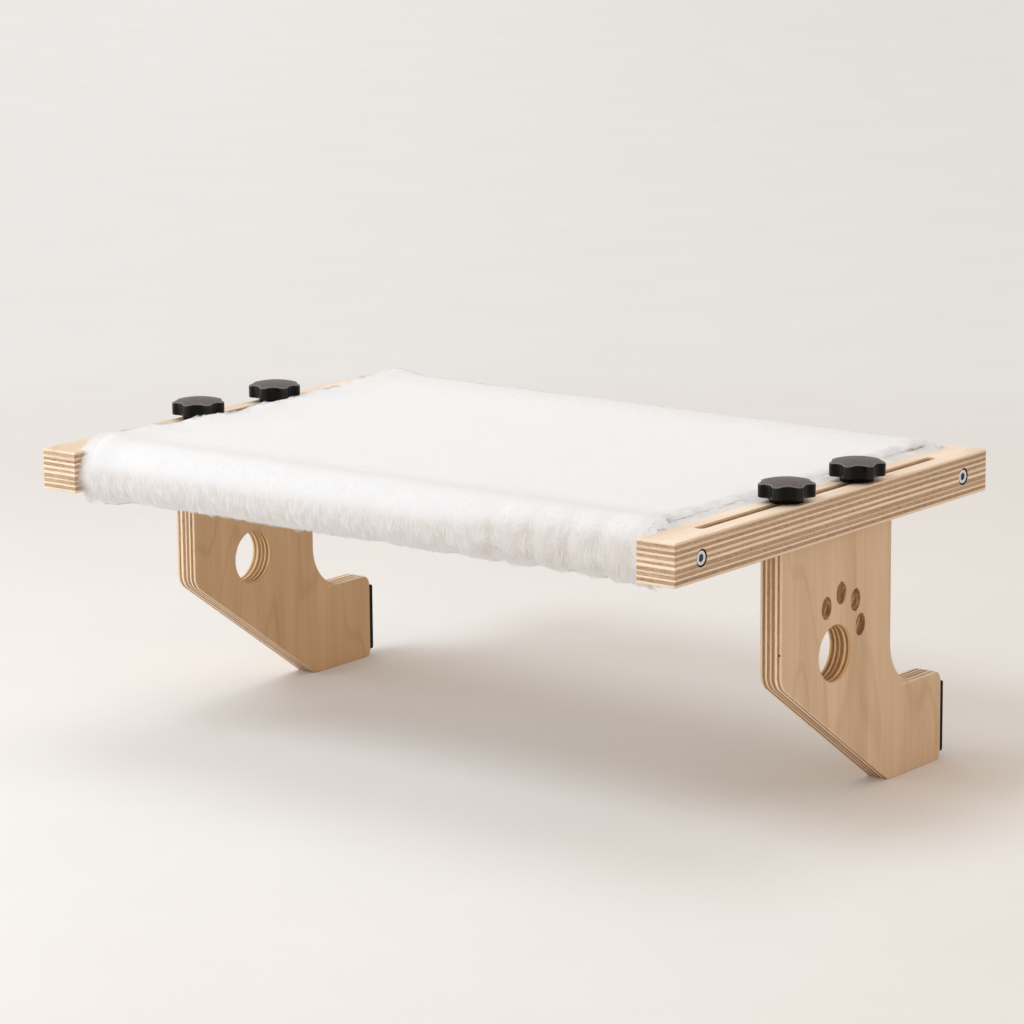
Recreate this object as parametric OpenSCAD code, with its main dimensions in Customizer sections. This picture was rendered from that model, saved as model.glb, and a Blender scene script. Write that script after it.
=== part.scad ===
// Cat hammock for a window sill: a plush cover on two crossbars between two slotted rails,
// with two hook brackets that slide along the rails and are clamped by star knobs.
// Origin under the middle of the part, at the feet. X runs across the hammock, -Y is its front.

/* [Rails] */
// Width across the outer faces of both rails
overall_width = 560; // [400:5:700]
// Length of a rail, front to rear
rail_length = 386; // [340:2:480]
// Width of a rail
rail_width = 31; // [26:0.5:38]
// Height of a rail
rail_height = 30; // [26:0.5:36]
// Height of the rails' undersides above the feet
rail_lift = 190; // [170:1:240]
// Distance from a rail's end to the tip of its slot
slot_inset = 47; // [44:1:70]

/* [Crossbars] */
// Diameter of a crossbar
bar_d = 28; // [22:0.5:30]
// Distance from a rail's end to the crossbar's axis
bar_inset = 30.5; // [24:0.5:36]

/* [Crossbar bolts] */
// Thread diameter of a crossbar bolt
bolt_d = 6; // [5:0.5:8]
// Diameter of a bolt's head
bolt_head_d = 10; // [9:0.5:13]
// Height of a bolt's head
bolt_head_h = 6; // [4:0.5:8]
// Hexagon socket of a bolt's head, across its flats
bolt_socket = 5; // [3:0.5:6]
// Depth of the hexagon socket
bolt_socket_depth = 3.2; // [2:0.1:3.8]
// How far a bolt's head lies below the rail's face
bolt_sink = 0.6; // [0:0.1:2]
// Length of a bolt inside its insert
bolt_grip = 12; // [8:0.5:20]

/* [Threaded inserts] */
// Wall of a threaded insert
insert_wall = 1.5; // [0.8:0.1:2.5]
// Length of a threaded insert
insert_length = 15; // [12:0.5:20]

/* [Brackets] */
// Thickness of a bracket's plate
plate_t = 18; // [15:0.5:22]
// Distance from the rail's front end to the leg's front edge
leg_set_back = 134; // [120:1:150]
// Width of the leg, front edge to rear edge
leg_width = 137; // [125:1:150]
// Reach of the foot behind the leg's rear edge
foot_reach = 68; // [50:1:90]
// Height of the foot
foot_height = 66; // [50:1:80]
// Height of the corner where the front edge turns into the slope
shin_height = 95; // [80:1:110]
// Radius of that corner
shin_r = 14; // [4:1:24]
// Radius of the inner corner between leg and foot
notch_r = 34; // [10:1:40]
// Radius of the foot's upper rear corner
instep_r = 8; // [2:0.5:12]
// Radius of the foot's lower rear corner
heel_r = 5; // [2:0.5:12]
// Radius of the foot's lower front corner
sole_r = 4; // [1:0.5:8]

/* [Paw cut-out] */
// Diameter of the round hole
paw_hole_d = 40; // [30:1:46]
// Distance from the leg's front edge to the hole's centre
paw_from_front = 66; // [55:1:75]
// Height of the hole's centre above the feet
paw_height = 106; // [98:1:112]
// Width of a toe pocket
toe_w = 12.5; // [8:0.5:14]
// Height of a toe pocket
toe_h = 16; // [10:0.5:17]
// Depth of a toe pocket
toe_depth = 5; // [1:0.5:8]
// Lean of the row of toes to the rear, in degrees
paw_lean = 24.5; // [0:0.5:30]
// Lean of each toe's long axis to the rear, in degrees
toe_lean = 5; // [0:1:20]
// Distance from the hole's centre to the two middle toes
toe_middle_reach = 42; // [40:0.5:46]
// Distance from the hole's centre to the two outer toes
toe_outer_reach = 35.5; // [34:0.5:40]
// Angle from the row's middle line to the middle toes
toe_middle_angle = 13.6; // [11:0.1:16]
// Angle from the row's middle line to the outer toes
toe_outer_angle = 41.6; // [40:0.1:46]

/* [Rubber pads] */
// Thickness of a rubber pad
pad_t = 4; // [2:0.5:8]
// How far a pad stays inside the flat of the foot's rear face, above and below
pad_end_margin = 0.5; // [0:0.1:6]
// How far a pad stays inside the plate's two faces
pad_margin = 0.5; // [0:0.1:3]
// Radius of a pad's outer corners
pad_r = 1.6; // [0.4:0.1:2]

/* [Star knobs] */
// Diameter over a knob's lobes
knob_d = 40; // [34:0.5:44]
// Number of lobes
knob_lobes = 7; // [5:1:8]
// Radius of a lobe's tip
lobe_r = 4.2; // [3:0.1:4.6]
// Depth of the hollows between the lobes
hollow_depth = 3.6; // [2.6:0.1:4.2]
// Angle at which the knobs stand when they are tight
knob_rest = 24.5; // [0:0.5:60]
// Diameter of the hub below the lobes
hub_d = 24; // [16:0.5:26]
// Height of the hub
hub_h = 4; // [2:0.5:8]
// Height of the lobes at the rim
grip_h = 9; // [6:0.5:14]
// Height of the domed top
dome_h = 3; // [1:0.5:5]
// Radius of the rim's edges
rim_r = 1; // [0.3:0.1:2]
// Thread diameter of a knob's stud
stud_d = 6; // [5:0.5:6.2]
// Length of a stud inside its insert
stud_grip = 14; // [8:0.5:18]
// Length of a stud moulded into the knob
stud_root = 9; // [5:0.5:12]
// Distance from the leg's front edge to the front stud
stud_from_front = 18; // [14:1:30]
// Distance between the two studs of a bracket
stud_spacing = 87.5; // [70:0.5:100]

/* [Plush cover] */
// Thickness of the cover, backing and pile together
plush_t = 9; // [5:0.5:12]
// How far the cover's sides draw in between the crossbars
plush_draw_in = 3; // [0:0.5:10]
// Sag of the cover between the crossbars
plush_sag = 5; // [1:0.5:20]
// Distance from a crossbar's axis to the seam of its rod pocket
pocket_seam = 34; // [28:1:50]
// Width of the hem behind the seam
hem = 8; // [3:0.5:15]

/* [Fits] */
// Radial clearance of a thread or a stud in its hole
thread_fit = 0.05; // [0.02:0.01:0.1]
// Radial clearance of a bolt in its rail
bolt_clearance = 0.4; // [0.2:0.1:1]
// Clearance round a bolt's head in its counterbore
head_clearance = 1.1; // [0.5:0.1:2]
// Clearance of a stud on each side of its slot
slot_clearance = 0.7; // [0.4:0.1:1.2]
// Radial clearance of an insert in the wood
insert_fit = 0.05; // [0.02:0.01:0.1]
// Clearance of the cover round a crossbar
cover_clearance = 0.3; // [0.1:0.1:1]
// Clearance of the cover's sides from the path of the knobs
cover_side_gap = 0.5; // [0.3:0.1:4]
// Room left below a stud's or a bolt's tip
tip_room = 5; // [2:0.5:10]
// Bevel at the end of a stud or a bolt
thread_bevel = 0.8; // [0.2:0.1:1.5]

/* [Hidden] */
$fn = 96;
SIDES = ["left", "right"];
ENDS = ["front", "rear"];

// Sides and ends as signs: left and front are negative
function side_sign(side) = side == "left" ? -1 : 1;
function end_sign(end) = end == "front" ? -1 : 1;

rail_x = overall_width/2 - rail_width/2;
rail_inner_x = overall_width/2 - rail_width;
rail_top = rail_lift + rail_height;
rail_mid = rail_lift + rail_height/2;
rail_front = -rail_length/2;
bar_y = rail_length/2 - bar_inset;
bar_r = bar_d/2;
leg_front = rail_front + leg_set_back;
leg_rear = leg_front + leg_width;
foot_rear = leg_rear + foot_reach;
stud_y = [leg_front + stud_from_front, leg_front + stud_from_front + stud_spacing];
pad_low = heel_r + pad_end_margin;
pad_high = foot_height - instep_r - pad_end_margin;
slot_width = stud_d + 2*slot_clearance;
slot_length = rail_length - 2*slot_inset;
seat_depth = bolt_head_h + bolt_sink;
// Margin by which a cut passes the face that it goes through
cut = 1;

// A polygon whose corners are rounded by true arcs: each corner is [x, y, radius]
function unit(v) = v/norm(v);
function turn(a, b, c) = let (u = b - a, v = c - b) u.x*v.y - u.y*v.x;
function spot(c) = [c.x, c.y];
function before(list, i) = spot(list[(i + len(list) - 1)%len(list)]);
function after(list, i) = spot(list[(i + 1)%len(list)]);
function ways(list, i) = [unit(before(list, i) - spot(list[i])), unit(after(list, i) - spot(list[i]))];
function half_angle(w) = acos(w[0]*w[1])/2;
function tangents(list, i) =
    let (w = ways(list, i), reach = list[i].z/tan(half_angle(w)))
    list[i].z > 0 ? [for (way = w) spot(list[i]) + reach*way] : [spot(list[i])];
function arc_centre(list, i) =
    let (w = ways(list, i))
    spot(list[i]) + list[i].z/sin(half_angle(w))*unit(w[0] + w[1]);

module rounded_outline(corners) {
    rounded = [for (i = [0 : len(corners) - 1]) if (corners[i].z > 0) i];
    outer = [for (i = rounded) if (turn(before(corners, i), spot(corners[i]), after(corners, i)) > 0) i];
    inner = [for (i = rounded) if (turn(before(corners, i), spot(corners[i]), after(corners, i)) < 0) i];
    difference() {
        union() {
            polygon([for (i = [0 : len(corners) - 1]) each tangents(corners, i)]);
            for (i = outer)
                translate(arc_centre(corners, i))
                    circle(corners[i].z);
        }
        for (i = inner)
            translate(arc_centre(corners, i))
                circle(corners[i].z);
    }
}

// A profile drawn in the Y-Z plane and given its thickness along X, centred on x
module plate_at(x, thickness) {
    translate([x - thickness/2, 0, 0])
        rotate([90, 0, 90])
            linear_extrude(thickness)
                children();
}

// A round bar along X, from x0 to x1
module rod_x(r, x0, x1) {
    translate([x0, 0, 0])
        rotate([0, 90, 0])
            cylinder(r = r, h = x1 - x0);
}

// A threaded rod with bevelled tips, along Z from z0 to z1
module threaded_rod(d, z0, z1) {
    translate([0, 0, z0 + thread_bevel])
        cylinder(d = d, h = z1 - z0 - 2*thread_bevel);
    translate([0, 0, z0])
        cylinder(d1 = d - 2*thread_bevel, d2 = d, h = thread_bevel);
    translate([0, 0, z1 - thread_bevel])
        cylinder(d1 = d, d2 = d - 2*thread_bevel, h = thread_bevel);
}

// A plain sleeve with a threaded bore, along Z from its mouth at z = 0 downwards
module insert_sleeve(thread_d) {
    translate([0, 0, -insert_length])
        difference() {
            cylinder(d = thread_d + 2*insert_wall, h = insert_length);
            translate([0, 0, -cut])
                cylinder(d = thread_d + 2*thread_fit, h = insert_length + 2*cut);
        }
}

// The hole that an insert and the tip beyond it need, from a mouth at z = 0 downwards
module insert_hole(thread_d, grip) {
    translate([0, 0, -insert_length])
        cylinder(d = thread_d + 2*insert_wall + 2*insert_fit, h = insert_length + cut);
    depth = max(insert_length, grip) + tip_room;
    translate([0, 0, -depth])
        cylinder(d = thread_d + 2*bolt_clearance, h = depth);
}

// Lays what is drawn along Z at the outer end of a crossbar, with +Z pointing out of the bar
module at_bar_end(side, end) {
    translate([side_sign(side)*rail_inner_x, end_sign(end)*bar_y, rail_mid])
        rotate([0, side_sign(side)*90, 0])
            children();
}

// A plywood rail with its slot and two counterbored bolt holes
module rail(side) {
    color("burlywood")
        difference() {
            translate([side_sign(side)*rail_x - rail_width/2, rail_front, rail_lift])
                cube([rail_width, rail_length, rail_height]);
            translate([side_sign(side)*rail_x, 0, rail_lift - cut])
                linear_extrude(rail_height + 2*cut)
                    slot_outline();
            for (end = ENDS)
                at_bar_end(side, end) {
                    translate([0, 0, -cut])
                        cylinder(d = bolt_d + 2*bolt_clearance, h = rail_width + 2*cut);
                    translate([0, 0, rail_width - seat_depth])
                        cylinder(d = bolt_head_d + 2*head_clearance, h = seat_depth + cut);
                }
        }
}

module slot_outline() {
    straight = slot_length - slot_width;
    square([slot_width, straight], center = true);
    for (end = ENDS)
        translate([0, end_sign(end)*straight/2])
            circle(d = slot_width);
}

// A round wooden crossbar, bored at both ends for its inserts
module crossbar(end) {
    color("tan")
        difference() {
            translate([0, end_sign(end)*bar_y, rail_mid])
                rod_x(bar_r, -rail_inner_x, rail_inner_x);
            for (side = SIDES)
                at_bar_end(side, end)
                    insert_hole(bolt_d, bolt_grip);
        }
}

module bar_insert(end, side) {
    color("goldenrod")
        at_bar_end(side, end)
            insert_sleeve(bolt_d);
}

// A socket head bolt, from its tip in the crossbar to its head in the counterbore
module bar_bolt(end, side) {
    seat = rail_width - seat_depth;
    color("silver")
        at_bar_end(side, end)
            difference() {
                union() {
                    threaded_rod(bolt_d, -bolt_grip, seat + bolt_head_h/2);
                    translate([0, 0, seat])
                        cylinder(d = bolt_head_d, h = bolt_head_h);
                }
                translate([0, 0, seat + bolt_head_h - bolt_socket_depth])
                    cylinder(d = bolt_socket/cos(30), h = bolt_socket_depth + cut, $fn = 6);
            }
}

// The plush cover: one sheet with a rod pocket sewn round each crossbar
pocket_r = bar_r + cover_clearance;
roll_r = pocket_r + plush_t;
cover_half = rail_x - max(knob_d, rail_width)/2 - cover_side_gap;
cover_reach = bar_y + roll_r;
sag_steps = 20;
side_steps = 16;
// Room beyond the cover's outline for the cut that shapes its sides
cover_room = 10;

// Height of the cover's underside at y, between the crossbars
function under_z(y) = rail_mid + pocket_r - plush_sag*(1 - pow(y/bar_y, 2));
function sag_line(rise) = [
    for (i = [0 : sag_steps])
        let (y = bar_y*(2*i/sag_steps - 1))
        [y, under_z(y) + rise]
];
function backwards(list) = [for (i = [len(list) - 1 : -1 : 0]) list[i]];
// The lower tangent point on a circle about the front crossbar, seen from p behind it
function pocket_tangent(r, p) =
    let (way = p - [-bar_y, rail_mid], lean = atan2(way.y, way.x), spread = acos(r/norm(way)))
    [-bar_y, rail_mid] + r*[cos(lean - spread), sin(lean - spread)];

// The space of a rod pocket, from the crossbar back to its seam, grown by the cover's thickness or not
module pocket_space(r, seam) {
    p = [-bar_y + seam, under_z(-bar_y + seam)];
    translate([-bar_y, rail_mid])
        circle(r);
    polygon([[-bar_y, rail_mid], pocket_tangent(r, p), p, [-bar_y, rail_mid + pocket_r]]);
}

module cover_profile() {
    difference() {
        union() {
            polygon(concat(sag_line(0), backwards(sag_line(plush_t))));
            for (turned = [0, 1])
                mirror([turned, 0])
                    pocket_space(roll_r, pocket_seam + hem);
        }
        for (turned = [0, 1])
            mirror([turned, 0])
                pocket_space(pocket_r, pocket_seam);
    }
}

// The cover seen from above, with its sides drawn in between the crossbars
module cover_plan() {
    side_line = [
        for (i = [0 : side_steps])
            let (y = cover_reach*(2*i/side_steps - 1))
            [cover_half - plush_draw_in*(1 - pow(y/cover_reach, 2)), y]
    ];
    polygon(concat(side_line, [for (p = backwards(side_line)) [-p.x, p.y]]));
}

module plush_cover() {
    color("white")
        intersection() {
            plate_at(0, 2*cover_half + cover_room)
                cover_profile();
            translate([0, 0, rail_mid - 2*roll_r])
                linear_extrude(4*roll_r)
                    cover_plan();
        }
}

// A hook bracket: a leg under the rail and a foot that reaches back under the sill
module bracket_outline() {
    rounded_outline([
        [leg_front, rail_lift, 0],
        [leg_front, shin_height, shin_r],
        [leg_rear, 0, sole_r],
        [foot_rear, 0, heel_r],
        [foot_rear, foot_height, instep_r],
        [leg_rear, foot_height, notch_r],
        [leg_rear, rail_lift, 0]
    ]);
}

// An oval toe, drawn about its own centre
toe_steps = 32;
module toe_outline() {
    polygon([
        for (i = [0 : toe_steps - 1])
            let (a = 360*i/toe_steps)
            [toe_w/2*cos(a), toe_h/2*sin(a)]
    ]);
}

module paw_toes() {
    toes = [
        [toe_outer_angle, toe_outer_reach],
        [toe_middle_angle, toe_middle_reach],
        [-toe_middle_angle, toe_middle_reach],
        [-toe_outer_angle, toe_outer_reach]
    ];
    for (toe = toes)
        translate([leg_front + paw_from_front, paw_height])
            rotate(90 - paw_lean + toe[0])
                translate([toe[1], 0])
                    rotate(paw_lean - 90 - toe[0] - toe_lean)
                        toe_outline();
}

module bracket(side) {
    x = side_sign(side)*rail_x;
    outer_face = x + side_sign(side)*plate_t/2;
    color("burlywood")
        difference() {
            plate_at(x, plate_t)
                bracket_outline();
            translate([0, leg_front + paw_from_front, paw_height])
                rod_x(paw_hole_d/2, x - plate_t/2 - cut, x + plate_t/2 + cut);
            plate_at(outer_face, 2*toe_depth)
                paw_toes();
            for (y = stud_y)
                translate([x, y, rail_lift])
                    insert_hole(stud_d, stud_grip);
        }
}

module bracket_insert(end, side) {
    color("goldenrod")
        translate([side_sign(side)*rail_x, stud_y[end == "front" ? 0 : 1], rail_lift])
            insert_sleeve(stud_d);
}

// A rubber pad glued to the foot's rear face
module wall_pad(side) {
    color([0.05, 0.05, 0.05])
        plate_at(side_sign(side)*rail_x, plate_t - 2*pad_margin)
            rounded_outline([
                [foot_rear, pad_low, 0],
                [foot_rear + pad_t, pad_low, pad_r],
                [foot_rear + pad_t, pad_high, pad_r],
                [foot_rear, pad_high, 0]
            ]);
}

// A star knob: lobes and hollows round a domed grip, on a hub that bears on the rail
module at_knob(end, side) {
    translate([side_sign(side)*rail_x, stud_y[end == "front" ? 0 : 1], rail_top])
        children();
}

lobe_reach = knob_d/2 - lobe_r;
lobe_step = 360/knob_lobes;
// Radius and distance of the hollows that run tangent from lobe to lobe
hollow_base = knob_d/2 - hollow_depth;
hollow_r = let (c = cos(lobe_step/2))
    (pow(lobe_reach, 2) + pow(hollow_base, 2) - 2*lobe_reach*hollow_base*c - pow(lobe_r, 2))
    /(2*(lobe_r - hollow_base + lobe_reach*c));
hollow_reach = hollow_base + hollow_r;

module star_outline() {
    difference() {
        polygon([
            for (i = [0 : knob_lobes - 1])
                each [
                    lobe_reach*[cos(i*lobe_step), sin(i*lobe_step)],
                    hollow_reach*[cos((i + 0.5)*lobe_step), sin((i + 0.5)*lobe_step)]
                ]
        ]);
        for (i = [0 : knob_lobes - 1])
            rotate((i + 0.5)*lobe_step)
                translate([hollow_reach, 0])
                    circle(hollow_r);
    }
    for (i = [0 : knob_lobes - 1])
        rotate(i*lobe_step)
            translate([lobe_reach, 0])
                circle(lobe_r);
}

module grip_profile() {
    rim_z = hub_h + grip_h;
    top_z = rim_z + dome_h;
    dome_r = (pow(knob_d/2, 2) + pow(dome_h, 2))/(2*dome_h);
    intersection() {
        rounded_outline([
            [0, hub_h, 0],
            [knob_d/2, hub_h, rim_r],
            [knob_d/2, rim_z, 0],
            [knob_d/2, top_z, 0],
            [0, top_z, 0]
        ]);
        translate([0, top_z - dome_r])
            circle(dome_r, $fn = 720);
    }
}

module knob(end, side) {
    color([0.06, 0.06, 0.06])
        at_knob(end, side)
            rotate(knob_rest)
                difference() {
                    union() {
                        cylinder(d = hub_d, h = hub_h + grip_h/2);
                        intersection() {
                            linear_extrude(hub_h + grip_h + dome_h + cut)
                                star_outline();
                            rotate_extrude()
                                grip_profile();
                        }
                    }
                    translate([0, 0, -cut])
                        cylinder(d = stud_d + 2*thread_fit, h = stud_root + cut);
                }
}

module knob_stud(end, side) {
    color("gray")
        at_knob(end, side)
            threaded_rod(stud_d, -rail_height - stud_grip, stud_root);
}

for (side = SIDES) {
    rail(side);
    bracket(side);
    wall_pad(side);
}
for (end = ENDS) {
    crossbar(end);
    for (side = SIDES) {
        bar_insert(end, side);
        bar_bolt(end, side);
        bracket_insert(end, side);
        knob_stud(end, side);
        knob(end, side);
    }
}
plush_cover();
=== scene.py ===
import math

import bmesh
import bpy
import numpy as np
from mathutils import Matrix, Vector


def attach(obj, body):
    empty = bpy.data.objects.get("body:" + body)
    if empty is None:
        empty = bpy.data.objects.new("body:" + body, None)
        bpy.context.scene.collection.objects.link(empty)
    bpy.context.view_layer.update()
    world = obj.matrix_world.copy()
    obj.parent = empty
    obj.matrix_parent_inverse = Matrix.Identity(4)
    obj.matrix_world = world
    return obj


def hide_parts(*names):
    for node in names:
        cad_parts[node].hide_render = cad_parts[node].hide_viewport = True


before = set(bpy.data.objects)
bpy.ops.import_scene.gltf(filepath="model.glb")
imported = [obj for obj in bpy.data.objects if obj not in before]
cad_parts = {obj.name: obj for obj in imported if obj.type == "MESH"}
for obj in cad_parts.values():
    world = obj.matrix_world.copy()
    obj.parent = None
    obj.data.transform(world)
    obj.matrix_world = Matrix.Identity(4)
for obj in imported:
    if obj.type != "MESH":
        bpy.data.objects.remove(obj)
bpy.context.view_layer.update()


# Rails: two bars of birch plywood with fifteen plies, which carry everything else.
# They are sawn to size, slotted and counterbored, and their edges are eased with
# sandpaper before they get a clear matt coat.
MM = 0.001
SIDES = {"left": -1, "right": 1}
ENDS = {"front": -1, "rear": 1}
RAIL_UNDERSIDE, RAIL_TOP = 190.0, 220.0
RAIL_PLIES = 15
PLY = 2.0
RAIL_EASE = 0.5 * MM
RAIL_LIGHT = (0.90, 0.72, 0.545, 1)
RAIL_DARK = (0.56, 0.375, 0.24, 1)
RAIL_TOP_LIT = (1.09, 1.13, 1.19)
BOLT_Y, BOLT_Z, COUNTERBORE_R = 162.5, 205.0, 6.1
BORED_FROM, BORED_TO = 250.0, 279.6
MERGE, FLAT = 1e-6, math.radians(0.3)


def alone(piece):
    """Makes one object the only selected one, and the active one."""
    bpy.ops.object.select_all(action="DESELECT")
    piece.select_set(True)
    bpy.context.view_layer.objects.active = piece


def eased_copy(node, name, width, segments=2, angle=40):
    """A copy of a CAD node, with its triangles merged and its sharp edges rounded off."""
    piece = bpy.data.objects.new(name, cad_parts[node].data.copy())
    bpy.context.collection.objects.link(piece)
    alone(piece)
    bpy.ops.mesh.customdata_custom_splitnormals_clear()
    bpy.ops.object.mode_set(mode="EDIT")
    bpy.ops.mesh.select_all(action="SELECT")
    bpy.ops.mesh.remove_doubles(threshold=MERGE)
    bpy.ops.mesh.dissolve_limited(angle_limit=FLAT)
    bpy.ops.object.mode_set(mode="OBJECT")
    bevel = piece.modifiers.new("eased edges", "BEVEL")
    bevel.width, bevel.segments = width, segments
    bevel.limit_method, bevel.angle_limit = "ANGLE", math.radians(angle)
    bevel.use_clamp_overlap = bevel.loop_slide = False
    bevel.harden_normals = True
    bpy.ops.object.shade_smooth_by_angle(angle=math.radians(angle))
    bpy.ops.object.modifier_apply(modifier=bevel.name)
    piece.data.materials.clear()
    return piece


def stand_for(piece, node, body, slot, *materials):
    """Lets a finished piece stand for a CAD node, on the node's body."""
    for material in materials:
        piece.data.materials.append(material)
    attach(piece, body)
    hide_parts(node)


def fill(tree, sockets, values):
    """Links or sets the inputs of a node, by their names or numbers."""
    for key, value in values.items():
        if isinstance(value, bpy.types.NodeSocket):
            tree.links.new(value, sockets[key])
        else:
            sockets[key].default_value = value


def add(tree, kind, inputs=None, **options):
    """Adds a shader node with its options and inputs."""
    node = tree.nodes.new("ShaderNode" + kind)
    for key, value in options.items():
        setattr(node, key, value)
    fill(tree, node.inputs, inputs or {})
    return node


def maths(tree, operation, *values):
    """Adds a Math node and gives its result."""
    node = add(tree, "Math", operation=operation)
    fill(tree, node.inputs, dict(enumerate(values)))
    return node.outputs[0]


def multiplied(tree, vector, factors):
    """A position or a colour, with each of its three parts multiplied by its own factor."""
    return add(tree, "VectorMath", {0: vector, 1: factors}, operation="MULTIPLY").outputs[0]


def noise(tree, position, scale, detail=2.0, roughness=0.5):
    """Noise from 0 to 1 on a position, with each axis scaled by itself."""
    node = add(tree, "TexNoise", {
        "Vector": multiplied(tree, position, scale), "Scale": 1.0,
        "Detail": detail, "Roughness": roughness})
    return node.outputs["Fac"]


def ramp(tree, value, low, high, start=0.0, end=1.0):
    """A value carried smoothly from one range to another, and held at its ends."""
    node = add(tree, "MapRange", {
        "Value": value, "From Min": low, "From Max": high,
        "To Min": start, "To Max": end}, interpolation_type="SMOOTHSTEP")
    return node.outputs["Result"]


def mixed(tree, factor, a, b):
    """One colour turned into another by a factor."""
    node = add(tree, "Mix", {0: factor, 6: a, 7: b}, data_type="RGBA")
    return node.outputs[2]


def shaded(tree, colour, value):
    """A colour made lighter or darker by a value around 1."""
    node = add(tree, "VectorMath", {0: colour, "Scale": value}, operation="SCALE")
    return node.outputs[0]


def shader_group(name, inputs, outputs):
    """An empty shader node group with named sockets, and its two end nodes."""
    tree = bpy.data.node_groups.new(name, "ShaderNodeTree")
    for way, sockets in (("INPUT", inputs), ("OUTPUT", outputs)):
        for socket, kind in sockets.items():
            tree.interface.new_socket(socket, in_out=way, socket_type="NodeSocket" + kind)
    ends = [tree.nodes.new("NodeGroup" + end) for end in ("Input", "Output")]
    return tree, ends[0].outputs, ends[1].inputs


def use(tree, group, inputs):
    """Places a node group in a tree and gives its outputs."""
    node = add(tree, "Group", node_tree=group)
    fill(tree, node.inputs, inputs)
    return node.outputs


def finish(name, **values):
    """A new material, its tree, its shader and its object coordinates in millimetres."""
    material = bpy.data.materials.new(name)
    material.use_nodes = True
    tree = material.node_tree
    shader = tree.nodes["Principled BSDF"]
    fill(tree, shader.inputs, {key.replace("_", " "): value for key, value in values.items()})
    where = add(tree, "TexCoord").outputs["Object"]
    return material, tree, shader.inputs, multiplied(tree, where, (1 / MM, 1 / MM, 1 / MM))


def raise_relief(tree, shader, height, depth, strength=1.0):
    """Feeds a height into the shader's normal, with its depth in millimetres."""
    bump = add(tree, "Bump", {"Height": height, "Distance": depth * MM, "Strength": strength})
    tree.links.new(bump.outputs["Normal"], shader["Normal"])


# The grain runs along Y of the position that the group gets, in millimetres.
grain, given, made = shader_group(
    "Wood grain", {"Position": "Vector"}, {"Streak": "Float", "Fleck": "Float"})
fibres = noise(grain, given["Position"], (1.1, 0.012, 1.1), 4.0, 0.6)
pores = noise(grain, given["Position"], (1.7, 0.10, 1.7), 2.0, 0.6)
fill(grain, made, {"Streak": fibres, "Fleck": ramp(grain, pores, 0.54, 0.70)})

# Plies are stacked along Z of the position, from one face of the board to the other.
# The face veneers and every second ply have their grain along Y, the others along X.
plywood, given, made = shader_group(
    "Plywood",
    {"Position": "Vector", "Plies": "Float", "Light": "Color", "Dark": "Color"},
    {"Color": "Color", "Roughness": "Float", "Height": "Float"})
place = given["Position"]
split = add(plywood, "SeparateXYZ", {0: place}).outputs
turned = add(plywood, "CombineXYZ", {0: split[1], 1: split[0], 2: split[2]}).outputs[0]
wander = maths(plywood, "MULTIPLY_ADD", noise(plywood, place, (0.02, 0.006, 0.02)), 0.4, -0.2)
uneven = maths(plywood, "MULTIPLY_ADD", noise(plywood, place, (0.0, 0.0, 0.37)), 1.8, -0.9)
layer = maths(plywood, "MULTIPLY_ADD", split[2], 1 / PLY, maths(plywood, "ADD", wander, uneven))
layer = maths(plywood, "MAXIMUM", layer, 0.05)
layer = maths(plywood, "MINIMUM", layer, maths(plywood, "SUBTRACT", given["Plies"], 0.05))
index = maths(plywood, "FLOOR", layer)
crossed = maths(plywood, "MODULO", index, 2.0)
inside = maths(plywood, "FRACT", layer)
rim = maths(plywood, "MINIMUM", inside, maths(plywood, "SUBTRACT", 1.0, inside))
glue = ramp(plywood, rim, 0.02, 0.14, 1.0, 0.0)
along, across = (use(plywood, grain, {"Position": p}) for p in (place, turned))
streak, fleck = (
    add(plywood, "Mix", {0: crossed, 2: along[i], 3: across[i]}, data_type="FLOAT").outputs[0]
    for i in (0, 1))
last = maths(plywood, "SUBTRACT", given["Plies"], 1.5)
veneer = maths(plywood, "MAXIMUM", maths(plywood, "LESS_THAN", index, 0.5),
               maths(plywood, "GREATER_THAN", index, last))
core = maths(plywood, "SUBTRACT", 1.0, veneer)
tint = add(plywood, "TexWhiteNoise", {"W": index}, noise_dimensions="1D").outputs["Value"]
patch = add(plywood, "CombineXYZ", {
    0: maths(plywood, "MULTIPLY", split[0], 0.03), 1: maths(plywood, "MULTIPLY", split[1], 0.012),
    2: maths(plywood, "MULTIPLY", index, 3.7)}).outputs[0]
patch = noise(plywood, patch, (1.0, 1.0, 1.0), 2.0)
dashes = ramp(plywood, noise(plywood, place, (0.24, 0.24, 1.5), 3.0, 0.6), 0.48, 0.66)
band = noise(plywood, place, (0.06, 0.003, 0.01), 3.0)
arch = maths(plywood, "MULTIPLY", noise(plywood, place, (0.016, 0.0035, 0.01), 1.0), 11.0)
arch = ramp(plywood, maths(plywood, "PINGPONG", arch, 1.0), 0.80, 1.0)


def varied(value, change, amount):
    """A value raised or lowered by a change around one half, times an amount."""
    return maths(plywood, "MULTIPLY_ADD", maths(plywood, "SUBTRACT", change, 0.5), amount, value)


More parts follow.
